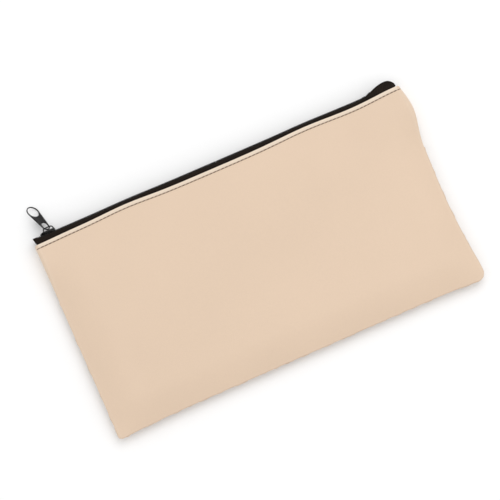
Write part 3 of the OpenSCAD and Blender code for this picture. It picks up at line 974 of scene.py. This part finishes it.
TAB_HEADING = math.radians(108)
TAB_LEAN = math.radians(8)
TAB_ROLL = math.radians(45)
TAB_T = 0.8 * MM
EYE_U = 2.8 * MM                   # along the tab, from the middle of its inner bar
EYE_R = 3.2 * MM
EYE_BAR = 0.8 * MM
GRIP_U = 7.9 * MM
GRIP_END_U = 10.2 * MM
GRIP_R = 1.5 * MM
GRIP_END_R = 1.75 * MM
CORE_OVERLAP = 0.3 * MM
TIP_U = 17 * MM
TIP_R = 5 * MM
TIP_RIM = 0.65 * MM
TAB_PIVOT = (BRIDGE_X, SLIDER_TOP + 1.25 * MM, PART_Z)


def tapered_bar(u1, r1, u2, r2, steps=20):
    """The outline of a bar with round ends of two sizes."""
    slope = math.degrees(math.asin((r2 - r1) / (u2 - u1)))
    return arc(u2, 0, r2, -90 - slope, 90 + slope, steps) + arc(u1, 0, r1, 90 + slope, 270 - slope, steps)


def pull_tab(material):
    """The flat tab: an eye round the bridge, a recessed grip, and a large hole at the tip."""
    place = (Matrix.Translation(TAB_PIVOT) @ Matrix.Rotation(TAB_HEADING, 4, "Z")
             @ Matrix.Rotation(TAB_LEAN, 4, "Y") @ Matrix.Rotation(TAB_ROLL, 4, "X"))
    eye_hole_r = EYE_R - EYE_BAR
    holes = [tapered_bar(EYE_U, eye_hole_r, EYE_U + 1.2 * MM, eye_hole_r + 0.05 * MM),
             arc(TIP_U, 0, TIP_R - TIP_RIM, 0, 345, 23)]
    grip = tapered_bar(GRIP_U, GRIP_R, GRIP_END_U, GRIP_END_R)
    outline = tapered_bar(EYE_U, EYE_R, TIP_U, TIP_R, 28)
    frame_part = plate("tab_frame", outline, holes + [grip], TAB_T, 0.16 * MM, place, material)
    core_outline = tapered_bar(GRIP_U, GRIP_R + CORE_OVERLAP, GRIP_END_U, GRIP_END_R + CORE_OVERLAP)
    core = plate("tab_core", core_outline, [], TAB_T * 0.55, 0.05 * MM, place, material)
    return joined("tab_plate", [frame_part, core])


# ---- Stitching ----

STITCH_PITCH = 3 * MM
STITCH_HALF_L = 1.28 * MM
STITCH_R = 0.25 * MM
STITCH_SLANT = 0.05


def stitch(bm, start, end, up, radius):
    """One visible stitch: it leaves its hole, lies on the sheet and goes down again."""
    start, end, up = Vector(start), Vector(end), Vector(up)
    shares = (0.0, 0.06, 0.16, 0.35, 0.65, 0.84, 0.94, 1.0)
    lifts = (-1.5, -0.6, 0.25, 0.62, 0.62, 0.25, -0.6, -1.5)
    points = [start.lerp(end, s) + up * radius * h for s, h in zip(shares, lifts)]
    tube(bm, points, [radius * r for r in (0.8, 0.9, 1, 1, 1, 1, 0.9, 0.8)])


def hem_shoulder(x):
    """Height of the hem where the stitches lie, and how far its face leans out, at x."""
    radius = FOLD_R + LIP_R
    left = float(left_edge(STITCH_Y)) + radius
    right = float(right_edge(STITCH_Y)) - radius
    past = min(max(left - x, x - right, 0), 0.97 * radius)
    height = HEM_H - 0.2 * MM - radius + math.sqrt(radius ** 2 - past ** 2)
    return height, math.copysign(past / radius, x)


def topstitch(name, side, start, end, material):
    """The row of stitches along a hem, from one x to another."""
    bm = bmesh.new()
    first = math.ceil(start / STITCH_PITCH - 0.5)
    for k in range(first, math.floor(end / STITCH_PITCH - 0.5) + 1):
        middle = (k + 0.5) * STITCH_PITCH
        y = float(hem_line(middle)) - MARGIN
        ends = [(middle + step, y + step * STITCH_SLANT, PART_Z + side * hem_shoulder(middle + step)[0])
                for step in (-STITCH_HALF_L, STITCH_HALF_L)]
        lean = hem_shoulder(middle)[1]
        stitch(bm, *ends, (lean, 0, side * math.sqrt(1 - lean ** 2)), STITCH_R)
    return closed_object(name, bm, material)


def seam_line(name, path, material):
    """Lockstitches along a seam, between the two allowances."""
    bm = bmesh.new()
    radii = [r * MM for r in (0.12, 0.22, 0.22, 0.12)]
    for start, end in zip(path, path[1:]):
        start, end = Vector(start), Vector(end)
        gap = (end - start) * 0.06
        tube(bm, [start + gap, start.lerp(end, 0.3), start.lerp(end, 0.7), end - gap], radii, 6)
    return closed_object(name, bm, material)


SEAM_START = 9 * MM                # the seam lines begin this far from the corners


def side_seam_path(edge, side):
    ys = np.arange(BOTTOM_Y + SEAM_START, LIP_END - 1 * MM, STITCH_PITCH)
    return [(float(edge(y)) - side * SEAM_INSET, y, PART_Z) for y in ys]


def bottom_seam_path():
    xs = np.arange(-HALF_W + SEAM_START, HALF_W - SEAM_START, STITCH_PITCH)
    return [(x, float(bottom_edge(x)) + SEAM_INSET, PART_Z) for x in xs]


# ---- Camera, floor and light ----

CAMERA_TURN = math.radians(-23.74)
CAMERA_RISE = math.radians(80.5)
CAMERA_DISTANCE = 1.2
CAMERA_TARGET = Vector((-3.8, 11.2, 7)) * MM
CAMERA_LENS = 122.7
FLOOR_Z = -0.15 * MM
WORLD_LIGHT = 0.84
KEY_PLACE = (0.55, 0.65, 1.9)
KEY_SIZE = 2.0
KEY_POWER = 15.5


def set_camera():
    data = bpy.data.cameras.new("camera")
    data.lens = CAMERA_LENS
    data.clip_start = 0.05
    camera = bpy.data.objects.new("camera", data)
    bpy.context.scene.collection.objects.link(camera)
    level = math.cos(CAMERA_RISE)
    back = Vector((math.sin(CAMERA_TURN) * level, -math.cos(CAMERA_TURN) * level, math.sin(CAMERA_RISE)))
    camera.location = CAMERA_TARGET + back * CAMERA_DISTANCE
    camera.rotation_euler = back.to_track_quat("Z", "Y").to_euler()
    bpy.context.scene.camera = camera


def set_floor():
    bm = bmesh.new()
    bmesh.ops.create_grid(bm, x_segments=2, y_segments=2, size=6)
    mesh = as_mesh("floor", bm)
    paint = Paint("floor_white")
    colour = paint.ramp(paint.noise(3, 1.0), [(0.3, (0.955, 0.955, 0.955)), (0.7, (0.965, 0.965, 0.965))])
    relief = paint.relief(paint.noise(200), 0.02, 0.001)
    floor = new_object("floor", mesh, paint.finish(colour, 0.8, relief))
    floor.location.z = FLOOR_Z


def area_light(name, place, size, power):
    data = bpy.data.lights.new(name, "AREA")
    data.shape = "SQUARE"
    data.size = size
    data.energy = power
    light = bpy.data.objects.new(name, data)
    bpy.context.scene.collection.objects.link(light)
    light.location = place
    light.rotation_euler = Vector(place).to_track_quat("Z", "Y").to_euler()


def set_light():
    world = bpy.data.worlds.new("studio")
    world.use_nodes = True
    background = world.node_tree.nodes["Background"]
    background.inputs["Color"].default_value = (1, 1, 1, 1)
    background.inputs["Strength"].default_value = WORLD_LIGHT
    bpy.context.scene.world = world
    area_light("key", KEY_PLACE, KEY_SIZE, KEY_POWER)
    bpy.context.scene.view_settings.view_transform = "Standard"


# ---- The whole bag ----

LEATHER = leatherette()
TAPE = woven_tape()
TEETH = nylon()
METAL = painted_metal()
DARK_THREAD = thread("thread_dark_brown", (0.034, 0.014, 0.007), (0.110, 0.052, 0.028))
ZIP_THREAD = thread("thread_black", (0.006, 0.005, 0.005), (0.020, 0.017, 0.016))
BEIGE_THREAD = thread("thread_beige", (0.48, 0.36, 0.26), (0.66, 0.52, 0.39))


def build_back():
    back = thicken(panel("back_sheet", -1, BACK_CROWN, 5.0, 0.0, LEATHER), SHEET_T, -1)
    strip = thicken(zip_tape("back_tape", -1, TAPE), TAPE_T, 0)
    row = coil("back_teeth", -1, COIL_START, COIL_END, TEETH)
    cords = zip_threads("back_zip_threads", -1, COIL_START, COIL_END, ZIP_THREAD)
    clamp = top_stop("back_stop_clamp", -1, METAL)
    stop = bottom_stop(METAL)
    stitches = topstitch("back_stitches", -1, -HALF_W - 0.5 * MM, HALF_W + 0.3 * MM, DARK_THREAD)
    for piece, nodes, slot in (
            (back, ["back_panel"], "leatherette"),
            (strip, ["back_zip_tape"], "zipper_tape"),
            (row, ["back_coil"], "zipper_teeth"),
            (cords, ["back_filler_cord", "back_coil_thread"], "zipper_thread"),
            (clamp, ["back_top_stop"], "zipper_metal"),
            (stop, ["bottom_stop"], "zipper_metal"),
            (stitches, ["back_topstitch"], "topstitch_thread")):
        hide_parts(*nodes)
        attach(piece, "bag_back")
    return back, strip


def build_front():
    whole_sheet = panel("front_sheet", 1, FRONT_CROWN, 1.0, SAG, LEATHER)
    sheets = front_halves(whole_sheet, SHEET_T, -1, ["front_panel"])
    whole_tape = zip_tape("front_tape", 1, TAPE)
    tapes = front_halves(whole_tape, TAPE_T, 0, ["front_zip_tape"])
    pieces = list(zip(sheets, (-1, 1))) + list(zip(tapes, (-1, 1)))
    for side, word, start, end in ((-1, "left", COIL_START, 0), (1, "right", 0, COIL_END)):
        row = coil("front_teeth_" + word, 1, start, end, TEETH)
        cords = zip_threads("front_zip_threads_" + word, 1, start, end, ZIP_THREAD)
        edge_x = side * (HALF_W + 0.4 * MM)
        stitches = topstitch("front_stitches_" + word, 1, min(edge_x, 0), max(edge_x, 0), DARK_THREAD)
        for piece, nodes, slot in (
                (row, ["front_coil"], "zipper_teeth"),
                (cords, ["front_filler_cord", "front_coil_thread"], "zipper_thread"),
                (stitches, ["front_topstitch"], "topstitch_thread")):
            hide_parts(*nodes)
            pieces.append((piece, side))
    clamp = top_stop("front_stop_clamp", 1, METAL)
    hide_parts("front_top_stop")
    pieces.append((clamp, -1))
    for piece, side in pieces:
        open_with_zipper(piece)
    return sheets, tapes


def build_seams():
    for name, path, node in (
            ("left_seam_stitches", side_seam_path(left_edge, -1), "left_seam_thread"),
            ("right_seam_stitches", side_seam_path(right_edge, 1), "right_seam_thread"),
            ("bottom_seam_stitches", bottom_seam_path(), "bottom_seam_thread")):
        line = seam_line(name, path, BEIGE_THREAD)
        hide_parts(node)
        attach(line, "bag_back")


def build_slider():
    for piece, node, body in (
            (slider(METAL), "slider_body", "slider"),
            (bridge(METAL), "slider_bridge", "slider"),
            (pull_tab(METAL), "pull_tab", "tab")):
        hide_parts(node)
        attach(piece, body)


set_camera()
set_floor()
set_light()
back_sheet, back_tape = build_back()
front_sheets, front_tapes = build_front()
build_seams()
build_slider()
